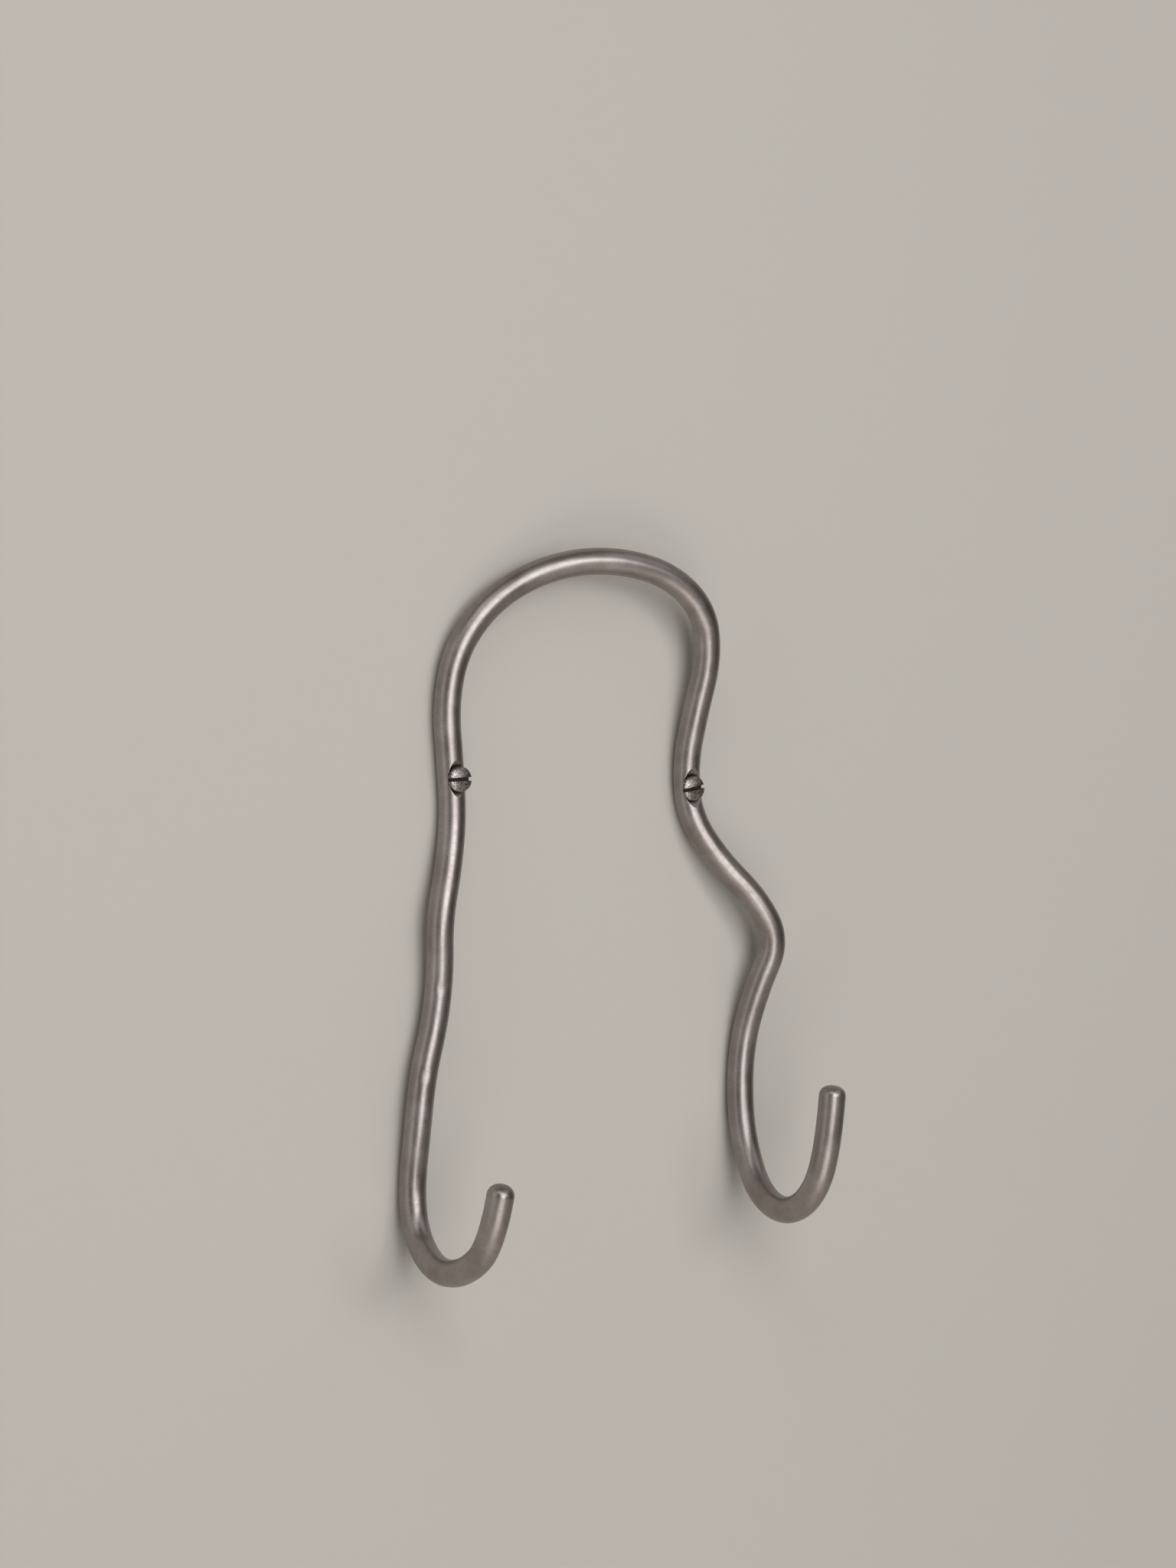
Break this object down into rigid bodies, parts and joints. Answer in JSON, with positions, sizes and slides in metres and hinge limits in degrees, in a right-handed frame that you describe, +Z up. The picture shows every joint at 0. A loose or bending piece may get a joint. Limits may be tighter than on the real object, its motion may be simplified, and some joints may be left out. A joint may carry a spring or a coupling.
{
  "type": "double wall hook",
  "caption": "Free-form bent round steel bar with a looped arch and legs ending in forward-facing hooks of unequal drop, held to a wall by slotted screws through the bar.",
  "frame": {"origin": "midway between the two screws, where the line of their axes crosses the plane of the wall", "axes": "+Z up, +Y into the wall, +X to the right as seen from the room; the wall is the plane Y = 0"},
  "size_m": [0.1247, 0.0927, 0.2172],
  "materials": {
    "bar_steel": "round bar, rubbed across its length with fine abrasive, satin, warm grey",
    "screw_steel": "turned and slotted screw, dull and rough on its face"
  },
  "bodies": {
    "root": {"hook_rod": "bar_steel", "screws": "screw_steel"}
  },
  "joints": []
}
